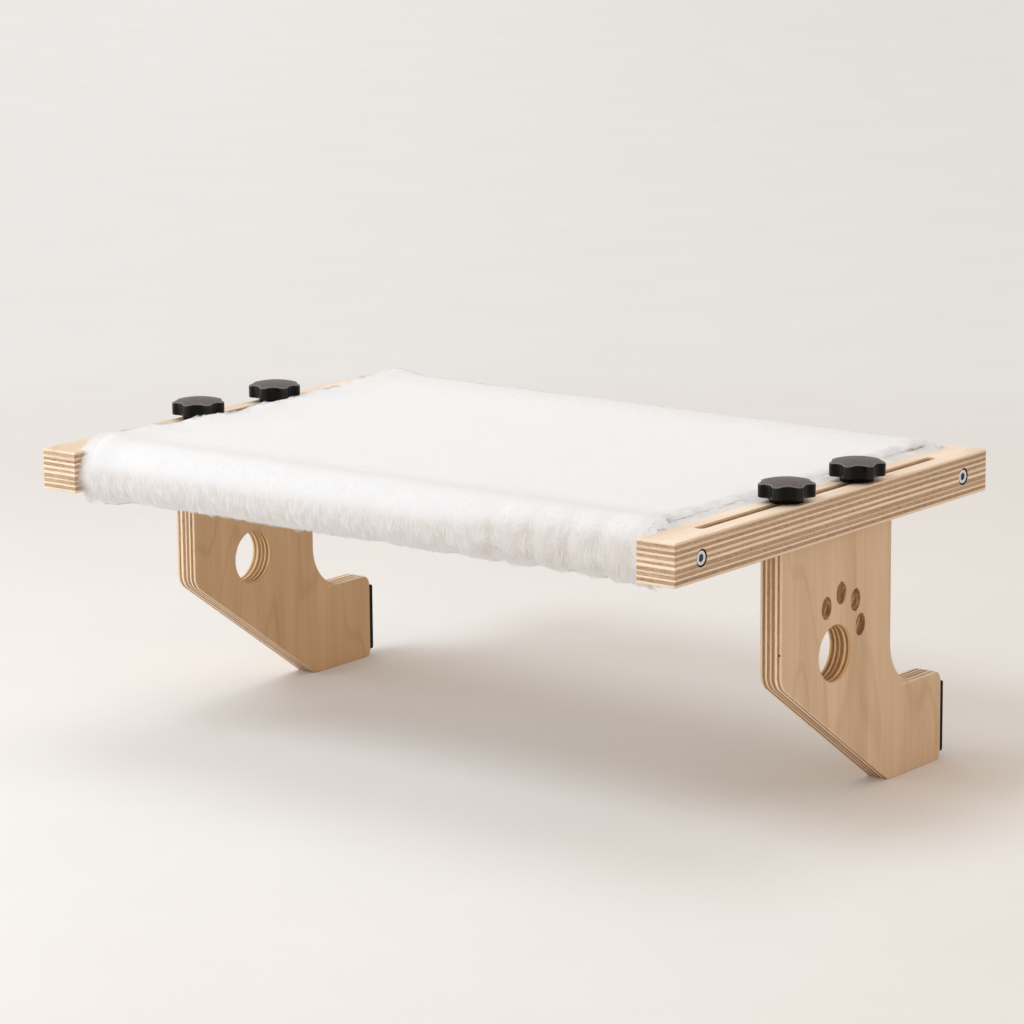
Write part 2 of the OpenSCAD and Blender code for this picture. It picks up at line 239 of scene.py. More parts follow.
streaked = maths(plywood, "MULTIPLY_ADD", core, 0.25, 0.22)
streaked = maths(plywood, "MULTIPLY_ADD", crossed, 0.35, streaked)
value = varied(1.0, streak, streaked)
value = varied(value, tint, maths(plywood, "MULTIPLY", core, 0.22))
value = varied(value, patch, maths(plywood, "MULTIPLY", core, 0.40))
value = varied(value, band, maths(plywood, "MULTIPLY", veneer, 0.34))
pored = maths(plywood, "MULTIPLY_ADD", core, 0.10, 0.03)
pored = maths(plywood, "MULTIPLY_ADD", crossed, 0.22, pored)
value = maths(plywood, "SUBTRACT", value, maths(plywood, "MULTIPLY", fleck, pored))
dashed = maths(plywood, "MULTIPLY", core, maths(plywood, "MULTIPLY_ADD", crossed, 0.20, 0.09))
dashed = maths(plywood, "MULTIPLY", dashes, dashed)
value = maths(plywood, "SUBTRACT", value, dashed)
value = maths(plywood, "SUBTRACT", value, maths(plywood, "MULTIPLY", glue, 0.17))
arched = maths(plywood, "MULTIPLY", maths(plywood, "MULTIPLY", arch, veneer), 0.07)
value = maths(plywood, "SUBTRACT", value, arched)
colour = shaded(plywood, mixed(plywood, crossed, given["Light"], given["Dark"]), value)
warmed = multiplied(plywood, colour, (1.0, 0.90, 0.76))
colour = mixed(plywood, ramp(plywood, value, 0.62, 1.02, 1.0, 0.0), colour, warmed)
height = maths(plywood, "MULTIPLY_ADD", glue, -0.6, maths(plywood, "SUBTRACT", streak, fleck))
fill(plywood, made, {
    "Color": colour, "Height": height,
    "Roughness": maths(plywood, "MULTIPLY_ADD", streak, 0.15, 0.45)})


def plywood_finish(name, light, dark, plies, board):
    """A plywood material, where board gives the position in the board from the object's."""
    material, tree, shader, where = finish(name, Specular_IOR_Level=0.35)
    wood = use(tree, plywood, {
        "Position": board(tree, where), "Plies": plies, "Light": light, "Dark": dark})
    fill(tree, shader, {"Base Color": wood["Color"], "Roughness": wood["Roughness"]})
    raise_relief(tree, shader, wood["Height"], 0.06)
    return material, tree, shader, where


def rail_board(tree, where):
    """The position in a rail's board, whose plies lie flat."""
    return add(tree, "VectorMath", {0: where, 1: (0, 0, RAIL_UNDERSIDE)},
               operation="SUBTRACT").outputs[0]


rail_wood, tree, shader, where = plywood_finish(
    "rail_plywood", RAIL_LIGHT, RAIL_DARK, RAIL_PLIES, rail_board)
faced = shader["Base Color"].links[0].from_socket
height = add(tree, "SeparateXYZ", {0: where}).outputs[2]
# The rails' top faces are painted lighter and cooler than their sides: painted light from above.
on_top = ramp(tree, height, RAIL_TOP - 1.2, RAIL_TOP - 0.5)
lit_top = multiplied(tree, faced, RAIL_TOP_LIT)
fill(tree, shader, {"Base Color": mixed(tree, on_top, faced, lit_top)})

# The counterbores' walls are painted near black: painted shade in the recesses round the bolt
# heads.
bored_wood, tree, shader, where = finish("bored_wood", Specular_IOR_Level=0.2)
bore_mottle = noise(tree, where, (0.9, 0.3, 0.9), 3.0)
fill(tree, shader, {
    "Base Color": mixed(tree, bore_mottle, (0.030, 0.017, 0.010, 1), (0.11, 0.062, 0.034, 1)),
    "Roughness": maths(tree, "MULTIPLY_ADD", bore_mottle, 0.2, 0.7)})
raise_relief(tree, shader, bore_mottle, 0.08)

for side in SIDES:
    rail = eased_copy(f"{side}_rail", f"{side}_plywood_rail", RAIL_EASE)
    stand_for(rail, f"{side}_rail", "frame", "rail_plywood", rail_wood, bored_wood)
    for face in rail.data.polygons:
        x, y, z = face.center / MM
        in_bore = math.hypot(abs(y) - BOLT_Y, z - BOLT_Z) < COUNTERBORE_R + 0.1
        face.material_index = int(in_bore and BORED_FROM < abs(x) < BORED_TO)


# Crossbars: two turned hardwood dowels, which hold the rails apart and carry the cover.
# They are bored at both ends for brass inserts, and lie inside the cover's rod pockets.
def dress(node, material):
    """Gives a CAD node a better material, and leaves its shape alone."""
    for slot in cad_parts[node].material_slots:
        slot.link, slot.material = "OBJECT", material


dowel_wood, tree, shader, where = finish("dowel_wood", Specular_IOR_Level=0.3)
split = add(tree, "SeparateXYZ", {0: where}).outputs
lengthwise = add(tree, "CombineXYZ", {0: split[1], 1: split[0], 2: split[2]}).outputs[0]
wood = use(tree, grain, {"Position": lengthwise})
value = maths(tree, "MULTIPLY_ADD", wood["Streak"], 0.5, 0.75)
value = maths(tree, "MULTIPLY_ADD", wood["Fleck"], -0.18, value)
fill(tree, shader, {
    "Base Color": shaded(tree, (0.70, 0.50, 0.33), value),
    "Roughness": maths(tree, "MULTIPLY_ADD", wood["Streak"], 0.2, 0.5)})
raise_relief(tree, shader, maths(tree, "SUBTRACT", wood["Streak"], wood["Fleck"]), 0.05)
for end in ENDS:
    dress(f"{end}_crossbar", dowel_wood)


# Threaded inserts: brass sleeves, screwed into the crossbars' ends and the brackets' tops.
# Only their mouths can be seen, and only when the part is taken apart.
brass, tree, shader, where = finish("brass", Metallic=1.0)
turning = noise(tree, where, (2.0, 2.0, 2.0), 3.0)
fill(tree, shader, {
    "Base Color": mixed(tree, turning, (0.60, 0.43, 0.17, 1), (0.80, 0.62, 0.29, 1)),
    "Roughness": maths(tree, "MULTIPLY_ADD", turning, 0.2, 0.2)})
for end in ENDS:
    for side in SIDES:
        dress(f"{end}_{side}_bar_insert", brass)
        dress(f"{end}_{side}_bracket_insert", brass)


# Crossbar bolts: socket head bolts of bright zinc-plated steel, sunk in the rails' outer
# faces and screwed into the crossbars with a hexagon key.
BOLT_EASE = 0.45 * MM
SOCKET_FLOOR, SOCKET_MOUTH, SOCKET_R = 274.4, 279.1, 2.95
zinc, tree, shader, where = finish("bright_zinc", Metallic=1.0)
tone_field = noise(tree, where, (0.9, 0.9, 0.9), 4.0, 0.65)
fill(tree, shader, {
    "Base Color": mixed(tree, tone_field, (0.62, 0.64, 0.68, 1), (0.90, 0.91, 0.93, 1)),
    "Roughness": ramp(tree, tone_field, 0.3, 0.7, 0.14, 0.32)})
raise_relief(tree, shader, noise(tree, where, (6.0, 6.0, 6.0), 2.0), 0.02, 0.4)
# The hexagon sockets are painted a darker blue-grey than the heads: painted shade in the recesses.
socket_shade, tree, shader, where = finish("shaded_socket", Metallic=0.8)
socket_mottle = noise(tree, where, (1.4, 1.4, 1.4), 3.0)
fill(tree, shader, {
    "Base Color": mixed(tree, socket_mottle, (0.14, 0.165, 0.20, 1), (0.48, 0.53, 0.59, 1)),
    "Roughness": maths(tree, "MULTIPLY_ADD", socket_mottle, 0.3, 0.3)})
for end in ENDS:
    for side in SIDES:
        bolt = eased_copy(f"{end}_{side}_bar_bolt", f"{end}_{side}_socket_bolt", BOLT_EASE, 3)
        stand_for(bolt, f"{end}_{side}_bar_bolt", "frame", "bolt_zinc", zinc, socket_shade)
        for face in bolt.data.polygons:
            x, y, z = face.center / MM
            in_hexagon = math.hypot(abs(y) - BOLT_Y, z - BOLT_Z) < SOCKET_R
            face.material_index = int(in_hexagon and SOCKET_FLOOR < abs(x) < SOCKET_MOUTH)


# Plush cover: one sheet of white long-pile plush, with a rod pocket sewn at each end, which
# the crossbars are pushed through. It hangs between them with a slight sag, pile outwards.
# Lips, shoulders and puffs, in millimetres, are those of the left and of the right edge.
BAR_Y, BAR_Z, POCKET_R = BOLT_Y, BOLT_Z, 14.3
SAG, SEAM, SEAM_DIP, HEM = 5.0, 34.0, 0.4, 8.0
COVER_HALF, DRAW_IN, COVER_REACH = 244.0, 3.0, 185.8
GROUND, EDGE_GROUND, EDGE_ROUND = 8.0, 6.4, 8.0
LIPS, LIP_REACH = (4.5, 0.8), 16.0
SHOULDERS = (0.6, 2.4)
PUFFS, PUFF_AT, PUFF_REACH, SWELL = (3.4, 1.0), 6.0, 13.0, 3.0
ROLL_FROM, ROLL_OVER = 12.0, 25.0
LOW_FROM, LOW_OVER = 12.0, 16.0
CREASE, CREASE_REACH = 0.5, 7.0
TUFTED_FROM, TUFTED_OVER, CLIMB = 60.0, 110.0, 10.0
FOLD_LEAN = 0.12
FOLDS = ((-205, 5, 1.0), (-120, 6, 0.8), (20, 7, 0.9), (86, 6, 1.2), (124, 5, 1.9),
         (157, 5, 2.3), (186, 5, 2.5), (213, 5, 2.0))
WAVE = 0.10
WAVES = ((9, 31, 0.4), (-13, 15, 1.9), (27, -11, 3.1), (19, 12, 4.4), (-33, 21, 5.2))
COAT, COAT_BRIGHT = (0.836, 0.856, 0.88, 1), (0.88, 0.90, 0.925, 1)
COAT_CREST_SHADE, COAT_LOW_SHADE = (0.80, 0.806, 0.82, 1), (0.685, 0.643, 0.62, 1)
STEP = 4.0
dice = np.random.default_rng(7)


def grown(value, over):
    """Grows from 0 to 1 while a value grows from 0 to an amount."""
    return np.clip(value / over, 0, 1)


def hump(offset, reach):
    """Is 1 where an offset is 0, and falls smoothly to 0 beyond a reach."""
    return np.exp(-(offset / reach) ** 2)


def underside(y):
    """The height of the backing between the bars."""
    return BAR_Z + POCKET_R - SAG * (1 - (y / BAR_Y) ** 2)


def backing_line():
    """The backing from the front hem round both bars to the rear hem, in even steps."""
    seam = np.array([-BAR_Y + SEAM, underside(-BAR_Y + SEAM) - SEAM_DIP])
    hem = seam + [HEM, underside(seam[0] + HEM) - underside(seam[0])]
    way = seam - [-BAR_Y, BAR_Z]
    first = math.atan2(way[1], way[0]) - math.acos(POCKET_R / np.hypot(*way))
    bends = np.linspace(first, -1.5 * math.pi, 90)
    pocket = np.stack([-BAR_Y + POCKET_R * np.cos(bends), BAR_Z + POCKET_R * np.sin(bends)], 1)
    middle = np.linspace(-BAR_Y, 0, 80)[1:]
    front = np.concatenate([[hem, seam], pocket, np.stack([middle, underside(middle)], 1)])
    line = np.concatenate([front, front[-2::-1] * [-1, 1]])
    along = np.concatenate([[0], np.cumsum(np.hypot(*np.diff(line, axis=0).T))])
    even = np.linspace(0, along[-1], round(along[-1] / STEP) + 1)
    return even, np.stack([np.interp(even, along, line[:, i]) for i in (0, 1)], 1)


run, line = backing_line()
tangent = np.gradient(line, run, axis=0)
tangent /= np.linalg.norm(tangent, axis=1)[:, None]
CUT_LENGTH = run[-1]
bar_run = run[np.argmin(line[:len(line) // 2, 0])]
to_middle = (run > bar_run) & (run < CUT_LENGTH / 2)
top_seam = np.interp(-BAR_Y + SEAM, line[to_middle, 0], run[to_middle])


def climb(x):
    """How much higher the loose pile reaches on the roll towards its right end."""
    return CLIMB * grown(x - TUFTED_FROM, TUFTED_OVER)


def ground(x, s):
    """Points and outward normals on the pile's ground at a width and a run, in millimetres,
    and the points of the backing below them."""
    y, z, ty, tz = (np.interp(s, run, v) for v in (*line.T, *tangent.T))
    size = np.hypot(ty, tz)
    normal = np.stack([np.zeros_like(y), -tz / size, ty / size], 1)
    from_end = np.minimum(s, CUT_LENGTH - s)
    rolled = grown(top_seam - ROLL_FROM - from_end, ROLL_OVER)
    low = grown(bar_run + LOW_FROM + climb(x) - from_end, LOW_OVER)
    outwards = grown(np.abs(x) - COVER_HALF + EDGE_ROUND, EDGE_ROUND)
    lip, shoulder, puff = (np.where(x < 0, *pair) for pair in (LIPS, SHOULDERS, PUFFS))
    eased = GROUND - EDGE_GROUND + shoulder * (1 - rolled)
    thick = GROUND - eased * (1 - np.sqrt(1 - outwards ** 2))
    uneven = 1 + 0.22 * np.sin(s / 6.1 + x) + 0.18 * np.sin(s / 9.7)
    lip = lip * uneven * hump(COVER_HALF - np.abs(x), LIP_REACH)
    puff = puff * hump(COVER_HALF - PUFF_AT - np.abs(x), PUFF_REACH)
    thick = thick + (1 - rolled) * lip + rolled * puff
    for wide, deep, shift in WAVES:
        thick = thick + WAVE * np.sin(x / wide + s / deep + shift)
    for middle, width, depth in FOLDS:
        lean = middle + FOLD_LEAN * (from_end - bar_run)
        thick = thick - low * depth * hump(x - lean, width)
    thick = thick - CREASE * hump(from_end - top_seam, CREASE_REACH)
    narrow = 1 - DRAW_IN * (1 - np.clip(y / COVER_REACH, -1, 1) ** 2) / COVER_HALF
    inner = np.stack([x * narrow, y, z], 1)
    outer = inner + normal * thick[:, None]
    outer[:, 0] += np.sign(x) * SWELL * rolled * outwards
    return outer, normal, inner


columns = round(2 * COVER_HALF / STEP)
bpy.ops.object.select_all(action="DESELECT")
bpy.ops.mesh.primitive_grid_add(x_subdivisions=columns, y_subdivisions=len(run) - 1, size=2)
cover = bpy.context.object
cover.name = "plush_sheet"
flat = np.empty(len(cover.data.vertices) * 3, np.float32)
cover.data.vertices.foreach_get("co", flat)
flat = flat.reshape(-1, 3)
outer, _, inner = ground(flat[:, 0] * COVER_HALF, (flat[:, 1] + 1) / 2 * CUT_LENGTH)
cover.data.vertices.foreach_set("co", (outer * MM).astype(np.float32).ravel())
thickness = cover.modifiers.new("backing", "SOLIDIFY")
thickness.thickness, thickness.offset = GROUND * MM, -1
thickness.material_offset = 1
alone(cover)
bpy.ops.object.modifier_apply(modifier=thickness.name)
both = np.concatenate([outer, inner]) * MM
cover.data.vertices.foreach_set("co", both.astype(np.float32).ravel())
cover.data.update()
bpy.ops.object.shade_smooth_by_angle(angle=math.radians(50))

undercoat, tree, shader, where = finish("plush_undercoat", Roughness=1.0, Sheen_Weight=0.3)
cloudy = noise(tree, where, (0.35, 0.35, 0.35), 4.0, 0.65)
width, across, height = add(tree, "SeparateXYZ", {0: where}).outputs
raised = ramp(tree, width, TUFTED_FROM, TUFTED_FROM + TUFTED_OVER, 0, 9)
height = maths(tree, "SUBTRACT", height, raised)
across = maths(tree, "ABSOLUTE", across)
# The roll is painted grey-pink low down, higher towards the right: painted shade under the roll.
outside = ramp(tree, across, BAR_Y + 6, BAR_Y + 18)
shade = maths(tree, "MULTIPLY", outside, ramp(tree, height, 214, 202))
# The crest is painted slightly greyer: painted shade that dims it where it faces the lamps.
crest = ramp(tree, across, BAR_Y - 40, BAR_Y - 6)
coat = mixed(tree, crest, mixed(tree, cloudy, COAT, COAT_BRIGHT), COAT_CREST_SHADE)
fill(tree, shader, {"Base Color": mixed(tree, shade, coat, COAT_LOW_SHADE)})
raise_relief(tree, shader, noise(tree, where, (0.8, 0.8, 0.8), 3.0), 0.25)

knit, tree, shader, where = finish("knit_backing", Roughness=0.95, Sheen_Weight=0.15)
stitch = add(tree, "TexWave", {"Vector": where, "Scale": 0.42, "Distortion": 1.5,
                               "Detail": 1.0}, bands_direction="X").outputs["Fac"]
course = add(tree, "TexWave", {"Vector": where, "Scale": 0.30, "Distortion": 1.0,
                               "Detail": 1.0}, bands_direction="Y").outputs["Fac"]
loops = maths(tree, "MULTIPLY", stitch, course)
fill(tree, shader, {
    "Base Color": mixed(tree, loops, (0.70, 0.69, 0.67, 1), (0.90, 0.89, 0.87, 1))})
raise_relief(tree, shader, loops, 0.35)
stand_for(cover, "plush_cover", "frame", "plush", undercoat, knit)


# Pile: flat tapered strands in small clumps, rooted in the sheet and combed away from a
# parting on the front roll. They hang loose low on the roll and spill over the side edges,
# but stay out of the rails and of the path of the knobs.
PILE_R, ROOTED = 0.27, 0.6
FRINGE = 18000
FIBRE_ROOT_SHADE, FIBRE_TIP = (0.56, 0.515, 0.485, 1), (0.902, 0.906, 0.912, 1)
CLUMP, TUFT = 6.0, 11.0
PARTING = bar_run + 17.0
RAIL_GAP, RAIL_END, ON_RAIL = 248.6, 190.0, RAIL_TOP + 0.35
STUD_X = 264.5
KNOB_SWEEP_Y, KNOB_SWEEP_Z, SWEEP_R, HUB_SWEEP_R = 141.5, 223.4, 21.1, 12.7
FLAT_PILE = 0.35
LOOSE_BELOW, LOOSE_REACH, TUFTS_OVER = 6.0, 10.0, 90.0
UNDER_FROM, UNDER_OVER = 14.0, 8.0
CREST_FROM, CREST_OVER = 18.0, 20.0
BENT_FROM, BENT_OVER = 7.0, 9.0
SUNK, SPILL, DROOP = 9.5, 9.5, (1.0, 5.0)
STRAND = np.array([
    (2, 1, 0), (0, 1, 4), (0, 4, 3), (1, 2, 5), (1, 5, 4), (2, 0, 3), (2, 3, 5),
    (3, 4, 6), (4, 5, 6), (5, 3, 6)])
ACROSS = np.array([0.15, 0.5, 0.85, 0.15, 0.5, 0.85, 0.5])[STRAND.ravel()]
ALONG = np.array([0, 0, 0, 0.5, 0.5, 0.5, 1])[STRAND.ravel()]


def unit(vectors):
    """Vectors of the same directions and a length of 1."""
    return vectors / np.maximum(np.linalg.norm(vectors, axis=1), 1e-9)[:, None]


def sweep(y, radius=SWEEP_R):
    """The width at which the knobs' path begins, at a distance along the rail."""
    past = np.clip(np.abs(y) - KNOB_SWEEP_Y, 0, radius)
    return STUD_X - np.sqrt(radius ** 2 - past ** 2)


def keep_clear(*strands):
    """Moves the starts, middles and tips of strands out of the rails and the knobs' path."""
    nearest = np.min([np.abs(p[:, 1]) for p in strands], axis=0)
    knob, hub = sweep(nearest), sweep(nearest, HUB_SWEEP_R)
    high = np.max([p[:, 2] for p in strands[:2]], axis=0) > KNOB_SWEEP_Z
    for x, y, z in (p.T for p in strands):
        over = np.abs(x) > RAIL_GAP
        low = over & (z < ON_RAIL)
        lifted = low & (z > RAIL_TOP - 4) & (np.abs(y) < RAIL_END)
        z[lifted] = ON_RAIL
        x[low & ~lifted] = np.sign(x[low & ~lifted]) * RAIL_GAP
        x[:] = np.clip(x, -hub, hub)
        x[:] = np.where(high, np.clip(x, -knob, knob), x)
        z[:] = np.where(np.abs(x) > knob, np.minimum(z, KNOB_SWEEP_Z), z)


def clump_of(x, s, size):
    """The nearest to each strand of clump centres scattered at about a size."""
    best = np.full(len(x), 1e9)
    found = np.zeros((len(x), 2))
    cell = np.stack([np.floor(x / size), np.floor(s / size)], 1)
    for i in (-1, 0, 1):
        for j in (-1, 0, 1):
            corner = cell + [i, j]
            mixing = corner[:, 0] * 127.1 + corner[:, 1] * 311.7
            jitter = np.stack([np.sin(mixing) * 43758.5, np.sin(mixing + 7.3) * 24634.6], 1) % 1
            centre = (corner + jitter) * size
            distance = np.hypot(centre[:, 0] - x, centre[:, 1] - s)
            nearer = distance < best
            best = np.where(nearer, distance, best)
            found = np.where(nearer[:, None], centre, found)
    return found


def strand_piece(name, start, middle, tip, normal, edge, lit, pale, bright):
    """A piece of flat tapered strands, lit like the sheet below them by a share, with their
    tones at root and tip, where edge tells how far they are round the sheet's side edge."""
    count = len(start)
    axis = unit(tip - start)
    outward = unit(normal + np.outer(edge, (0.8, 0, 0)))
    first = unit(np.cross(axis, outward) + dice.normal(0, 0.12, (count, 3)))
    second = np.cross(first, axis)
    width = PILE_R * dice.uniform(0.7, 1.25, count)[:, None]
    ring = [first, -first, second * 0.4]
    points = np.stack([start + r * width for r in ring]
                      + [middle + r * width * 0.85 for r in ring] + [tip], 1)
    facing = np.stack(ring + ring + [axis], 1) * (1 - lit) + normal[:, None, :] * lit
    faces = (np.arange(count)[:, None, None] * points.shape[1] + STRAND).reshape(-1, 3)
    mesh = bpy.data.meshes.new(name)
    mesh.from_pydata((points.reshape(-1, 3) * MM).astype(np.float32), [], faces)
    mesh.shade_smooth()
    mesh.normals_split_custom_set_from_vertices(unit(facing.reshape(-1, 3)))
    cells = math.ceil(math.sqrt(count))
    number = np.arange(count)[:, None]
    baked = np.stack([(number % cells + ACROSS) / cells,
                      (number // cells + 0.1 + 0.8 * ALONG) / cells], 2)
    tinted = np.stack([np.repeat(dice.random((count, 1)), STRAND.size, 1),
                       pale + (bright - pale) * ALONG[None, :]], 2)
    for layer, values in (("OFBake", baked), ("strand", tinted)):
        mesh.uv_layers.new(name=layer).data.foreach_set("uv", values.astype(np.float32).ravel())
    piece = bpy.data.objects.new(name, mesh)
    bpy.context.collection.objects.link(piece)
    piece.data.materials.append(fibre)
    piece.visible_shadow = piece.visible_diffuse = False
    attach(piece, "frame")
    return piece


def pile(name, x, s, rise, reach, drawn, tufted=0.0, fringed=False):
    """Strands at widths and runs of the sheet: how high they rise, how far they reach along
    it from the parting, how much they draw to their clumps, how tufted they are low on the
    roll, and if they spill over the side edge."""
    count = len(x)
    from_end = np.minimum(s, CUT_LENGTH - s)
    loose = hump(from_end - bar_run + LOOSE_BELOW - 0.6 * climb(x), LOOSE_REACH + 0.5 * climb(x))
    tuft = tufted * loose * (0.3 + 0.7 * grown(x - TUFTED_FROM, TUFTS_OVER))
    under = grown(bar_run - UNDER_FROM - from_end, UNDER_OVER)
    rolled = grown(top_seam - CREST_FROM - from_end, CREST_OVER)
    bent = grown(bar_run + BENT_FROM + climb(x) - from_end, BENT_OVER)
    edge = grown(np.abs(x) - COVER_HALF + EDGE_ROUND, EDGE_ROUND) ** 2 * np.sign(x)
    centre = np.where((tuft > 0.3)[:, None], clump_of(x, s, TUFT), clump_of(x, s, CLUMP))
    own = np.sin(centre[:, 0] * 12.9 + centre[:, 1] * 78.2)
    other = np.sin(centre[:, 0] * 3.1 + centre[:, 1] * 5.7)
    root, normal, _ = ground(x, s)
    heart, _, _ = ground(np.clip(centre[:, 0], -COVER_HALF, COVER_HALF), centre[:, 1])

    up = FLAT_PILE + (rise - FLAT_PILE) * bent
    up = up * (1 + 0.8 * loose + 1.4 * tuft * (1 - under) - 0.5 * under)
    up = up * (1 + 0.25 * other + dice.normal(0, 0.18, count))
    comb = np.where(s - PARTING > dice.normal(0, 3, count), 1, -1)
    along = reach * comb * (1 - 0.35 * tuft) * (1 + 0.2 * own + dice.normal(0, 0.15, count))
    sunk = np.abs(edge) ** 4 * dice.uniform(0, SUNK, count) * (1 - 0.4 * rolled) * fringed
    within = sweep(np.abs(root[:, 1]) - 5) < RAIL_GAP
    held = within & (root[:, 2] - sunk > KNOB_SWEEP_Z - 1.5)
    side = reach * (0.16 * own + dice.normal(0, 0.10, count)) + np.where(held, 1.5, 8.0) * edge
    droop = np.abs(edge) * dice.uniform(*DROOP, count) * np.where(held, 0.2, 1.0)
    if fringed:
        rolled = np.where(s < CUT_LENGTH / 2, rolled, 0.15 * rolled)
        length = dice.random(count) ** (1 - 0.6 * rolled)
        side = np.where(held, 2.0 * length, 1.5 + (SPILL - 2.5 * rolled) * length) * np.sign(x)
        along = along * np.where(held, 1.8, 1.0)
        up = np.abs(edge) * (up * (1 + 3.5 * rolled) + (1.2 + 1.2 * other) * (1 - rolled))
        droop = droop * (1 - 0.9 * rolled)
        loose = np.maximum(loose, 0.4)

    start = root - normal * (ROOTED + sunk)[:, None]
    start[:, 0] -= 0.8 * edge
    half, half_normal, _ = ground(x, np.clip(s + along / 2, 0, CUT_LENGTH))
    far, far_normal, _ = ground(x, np.clip(s + along, 0, CUT_LENGTH))
    lean = np.stack([side, np.zeros(count), -droop], 1)
    raised = far + far_normal * (up - sunk)[:, None]
    drawn_in = np.clip(drawn * (0.4 + loose) + 0.15 * tuft, 0, 0.8)[:, None]
    tip = raised + lean + (heart - root) * drawn_in
    middle = half + half_normal * (0.62 * up + 0.08 - sunk)[:, None] + (lean + tip - raised) / 4
    if fringed:
        over = np.abs(tip[:, 0]) > sweep(np.abs(tip[:, 1]) - 4) - 1
        rest = RAIL_TOP + 0.5 + 2.8 * dice.random(count)
        tip[:, 2] = np.where(over, np.minimum(tip[:, 2], rest), tip[:, 2])
    keep_clear(start, middle, tip)

    # Strand roots are painted darker than their tips, and the roll, the loose and low pile and the
    # edge tufts are dimmed: painted shade.
    painted_dimming = 0.25 * rolled + 0.28 * np.clip(other, 0, 1) * (1 - rolled) * fringed
    pale = np.clip(1.0 - painted_dimming - 0.35 * loose - 0.30 * under, 0, 1)[:, None]
    bright = np.clip(1.0 - painted_dimming - 0.25 * under, 0, 1)[:, None]
    lit = (0.97 - 0.35 * tuft)[:, None, None]
    return strand_piece(name, start, middle, tip, normal, edge, lit, pale, bright)


def scattered(low, high, density):
    """Even random places on the sheet between two runs."""
    count = int(density * 2 * COVER_HALF * (high - low))
    return dice.uniform(-COVER_HALF, COVER_HALF, count), dice.uniform(low, high, count)


fibre, tree, shader, where = finish("plush_fibre", Roughness=0.85, Sheen_Weight=0.35)
strand = add(tree, "UVMap", uv_map="strand").outputs[0]
split = add(tree, "SeparateXYZ", {0: strand}).outputs
cloudy = noise(tree, where, (0.12, 0.12, 0.12), 3.0, 0.6)
# The strand map carries each fibre from the darker root tone, which is painted shade, to the tip
# tone.
tone = mixed(tree, split[1], FIBRE_ROOT_SHADE, FIBRE_TIP)
value = maths(tree, "MULTIPLY_ADD", cloudy, 0.06, 0.92)
value = maths(tree, "MULTIPLY_ADD", split[0], 0.05, value)
fill(tree, shader, {"Base Color": shaded(tree, tone, value)})

rear_seam = CUT_LENGTH - top_seam
panel = np.linspace(top_seam - 8, rear_seam - 10, 4)


def beside(sign):
    """Random places close to one side edge of the sheet."""
    return (sign * (COVER_HALF - EDGE_ROUND * np.clip(dice.uniform(-1, 1, FRINGE), 0, 1) ** 2),
            dice.uniform(bar_run - UNDER_FROM, CUT_LENGTH - bar_run + UNDER_FROM, FRINGE))


pile_pieces = [
    pile("pile_front_low", *scattered(6.0, bar_run, 0.42), 0.9, 6.5, 0.4, 1.0),
    pile("pile_front_crest", *scattered(bar_run, top_seam - 6, 0.36), 0.8, 7.0, 0.35, 1.0),
    *(pile(f"pile_top_{i + 1}", *scattered(panel[i], panel[i + 1], 0.24), 0.35, 7.5, 0.3)
      for i in range(3)),
    pile("pile_rear", *scattered(rear_seam - 10, CUT_LENGTH - 6, 0.26), 0.9, 6.5, 0.4, 0.5),
    *(pile(f"pile_{side}_edge", *beside(sign), 0.8, 3.5, 0.25, 0.3, True)
      for side, sign in SIDES.items()),
]


# Brackets: two hooks sawn from 18 mm birch plywood of nine plies, which slide under the
# rails. The outline is rounded over, the paw's pad is bored through and its toes routed.
PLATE_INNER, PLATE_PLIES = 255.5, 9
PLATE_EASE = 0.8 * MM
TOE_FLOOR, TOE_MOUTH = 268.2, 271.9
TOES_FROM, TOES_TO, TOES_LOW, TOES_HIGH = 23.0, 50.0, 100.0, 152.0
PLATE_LIGHT = (0.868, 0.652, 0.457, 1)
PLATE_DARK = (0.40, 0.235, 0.12, 1)
VOID = (271.3, -59.0, 117.4)
PAW_AT, PAW_R = (7.0, 106.0), 20.0
FOOT_TOP, FOOT_FROM = 66.0, 90.0


def plate_board(tree, where):
    """The position in a bracket's board, whose plies stand upright and grain runs up."""
    split = add(tree, "SeparateXYZ", {0: where}).outputs
    return add(tree, "CombineXYZ", {
        0: maths(tree, "MULTIPLY_ADD", split[0], 0.5, split[1]),
        1: split[2],
        2: maths(tree, "SUBTRACT", maths(tree, "ABSOLUTE", split[0]), PLATE_INNER),
    }).outputs[0]


plate_wood, tree, shader, where = plywood_finish(
    "bracket_plywood", PLATE_LIGHT, PLATE_DARK, PLATE_PLIES, plate_board)
from_void = add(tree, "VectorMath", {0: where, 1: VOID}, operation="DISTANCE").outputs["Value"]
open_knot = ramp(tree, from_void, 0.7, 1.2, 1.0, 0.0)
split = add(tree, "SeparateXYZ", {0: where}).outputs
from_paw = add(tree, "CombineXYZ", {
    0: maths(tree, "SUBTRACT", split[1], PAW_AT[0]),
    1: maths(tree, "SUBTRACT", split[2], PAW_AT[1])}).outputs[0]
from_paw = add(tree, "VectorMath", {0: from_paw}, operation="LENGTH").outputs["Value"]
scorched = ramp(tree, from_paw, PAW_R + 0.1, PAW_R + 0.8, 1.0, 0.0)
outward = maths(tree, "ABSOLUTE", split[0])
# The brackets' inner faces are painted darker and warmer: painted shade with warm bounced light.
inner_shade = ramp(tree, outward, PLATE_INNER + 0.1, PLATE_INNER + 0.9, 1.0, 0.0)
